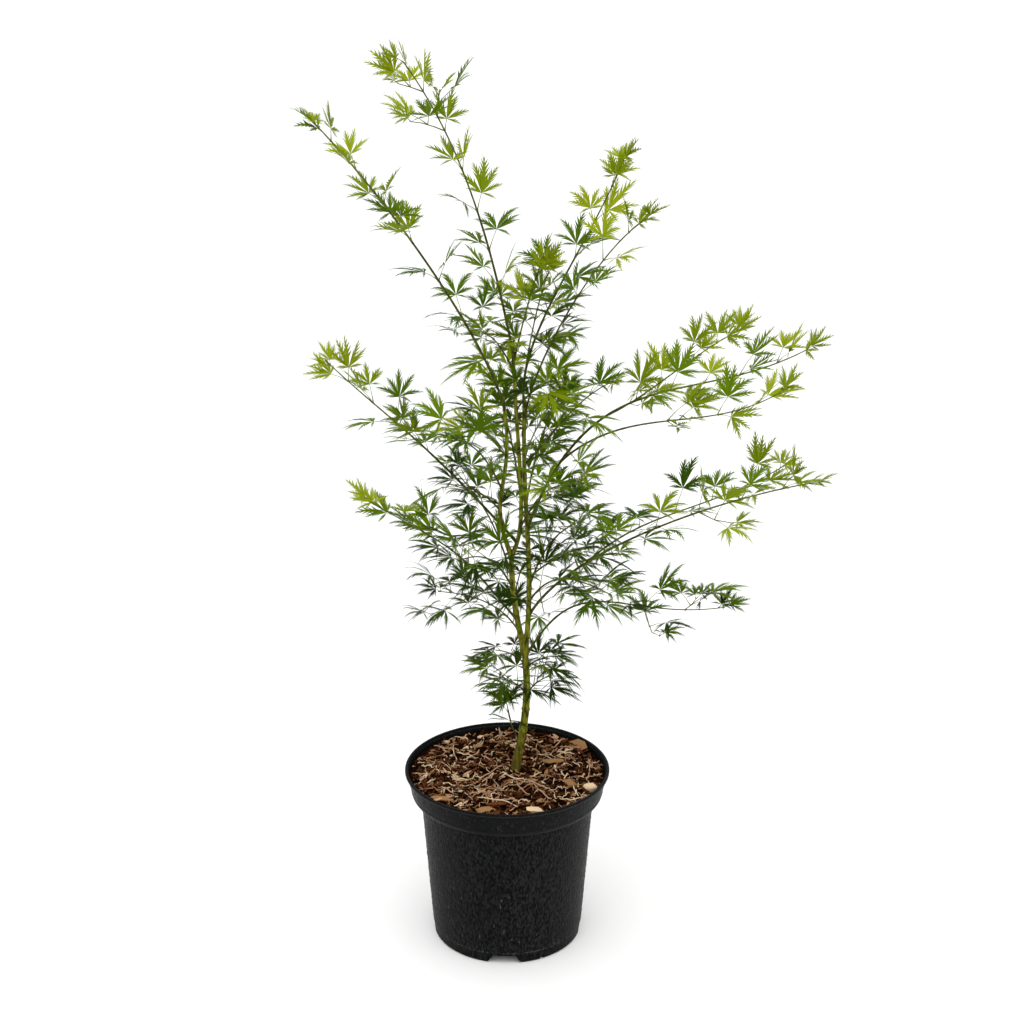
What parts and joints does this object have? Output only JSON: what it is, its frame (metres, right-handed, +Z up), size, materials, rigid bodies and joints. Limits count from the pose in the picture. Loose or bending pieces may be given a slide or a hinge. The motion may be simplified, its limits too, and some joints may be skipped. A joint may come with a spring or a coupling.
{
  "type": "potted japanese maple",
  "caption": "Young Japanese maple with finely cut leaves on open spreading boughs, in a round black nursery pot filled with bark mulch.",
  "frame": {"origin": "middle of the pot's flat underside, at floor level", "axes": "+Z up along the plant, -Y the front, +X to the right of someone who faces the front"},
  "size_m": [0.7006, 0.5061, 1.2147],
  "materials": {
    "plastic": "satin",
    "mulch": "matte",
    "bark": "matte",
    "leaf_lime": "matte",
    "leaf_green": "matte"
  },
  "bodies": {
    "root": {"pot": "plastic", "bark_mulch": "mulch", "trunk": "bark", "main_stem": "bark", "side_stem": "bark", "left_leader": "bark", "centre_leader": "bark", "upper_left_bough": "bark", "top_bough": "bark", "upper_right_bough": "bark", "outer_right_bough": "bark", "long_right_bough": "bark", "low_long_right_bough": "bark", "back_right_bough": "bark", "middle_right_bough": "bark", "middle_back_right_bough": "bark", "low_right_bough": "bark", "middle_left_bough": "bark", "low_left_bough": "bark", "upper_left_foliage": "leaf_lime", "top_foliage": "leaf_lime", "upper_right_foliage": "leaf_lime", "outer_right_foliage": "leaf_lime", "long_right_foliage": "leaf_lime", "low_long_right_foliage": "leaf_lime", "back_right_foliage": "leaf_lime", "middle_right_foliage": "leaf_lime", "middle_back_right_foliage": "leaf_lime", "low_right_foliage": "leaf_green", "middle_left_foliage": "leaf_lime", "low_left_foliage": "leaf_lime", "lowest_left_foliage": "leaf_green", "front_left_foliage": "leaf_green", "front_right_foliage": "leaf_green", "front_high_left_foliage": "leaf_green", "front_high_right_foliage": "leaf_green", "back_high_left_foliage": "leaf_green", "back_high_right_foliage": "leaf_green", "back_left_foliage": "leaf_green", "back_right_low_foliage": "leaf_green", "trunk_low_left_foliage": "leaf_green", "trunk_left_foliage": "leaf_green", "trunk_low_right_foliage": "leaf_green", "trunk_right_foliage": "leaf_green", "stem_left_foliage": "leaf_green", "stem_right_foliage": "leaf_green", "stem_back_foliage": "leaf_green", "leader_left_foliage": "leaf_lime", "leader_back_foliage": "leaf_green", "leader_right_foliage": "leaf_green", "crown_left_foliage": "leaf_green", "crown_right_foliage": "leaf_lime", "inner_right_foliage": "leaf_lime", "side_back_foliage": "leaf_green", "low_inner_right_foliage": "leaf_green", "upper_middle_foliage": "leaf_lime", "high_top_foliage": "leaf_lime", "trunk_foot_foliage": "leaf_green"}
  },
  "joints": []
}
